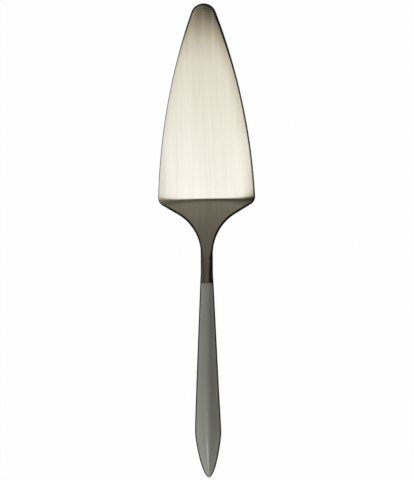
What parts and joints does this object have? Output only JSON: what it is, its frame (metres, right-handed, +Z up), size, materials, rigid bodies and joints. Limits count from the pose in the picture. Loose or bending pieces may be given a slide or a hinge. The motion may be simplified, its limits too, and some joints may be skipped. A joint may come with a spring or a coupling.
{
  "type": "cake server",
  "caption": "Wedge-shaped steel serving blade with a sloped shoulder and slim neck, its tang bonded into a ridged grey resin handle.",
  "frame": {"origin": "on the table plane, under the middle of the whole length and width; the blade's flat underside lies on z = 0", "axes": "+Y along the length towards the blade's tip, +X to the right as seen from above, +Z up"},
  "size_m": [0.0538, 0.2598, 0.0452],
  "materials": {
    "steel": "brushed along the blade",
    "resin": "satin",
    "bond": "cured adhesive"
  },
  "bodies": {
    "root": {"blade_head": "steel", "handle": "resin", "tang_bond": "bond"}
  },
  "joints": []
}
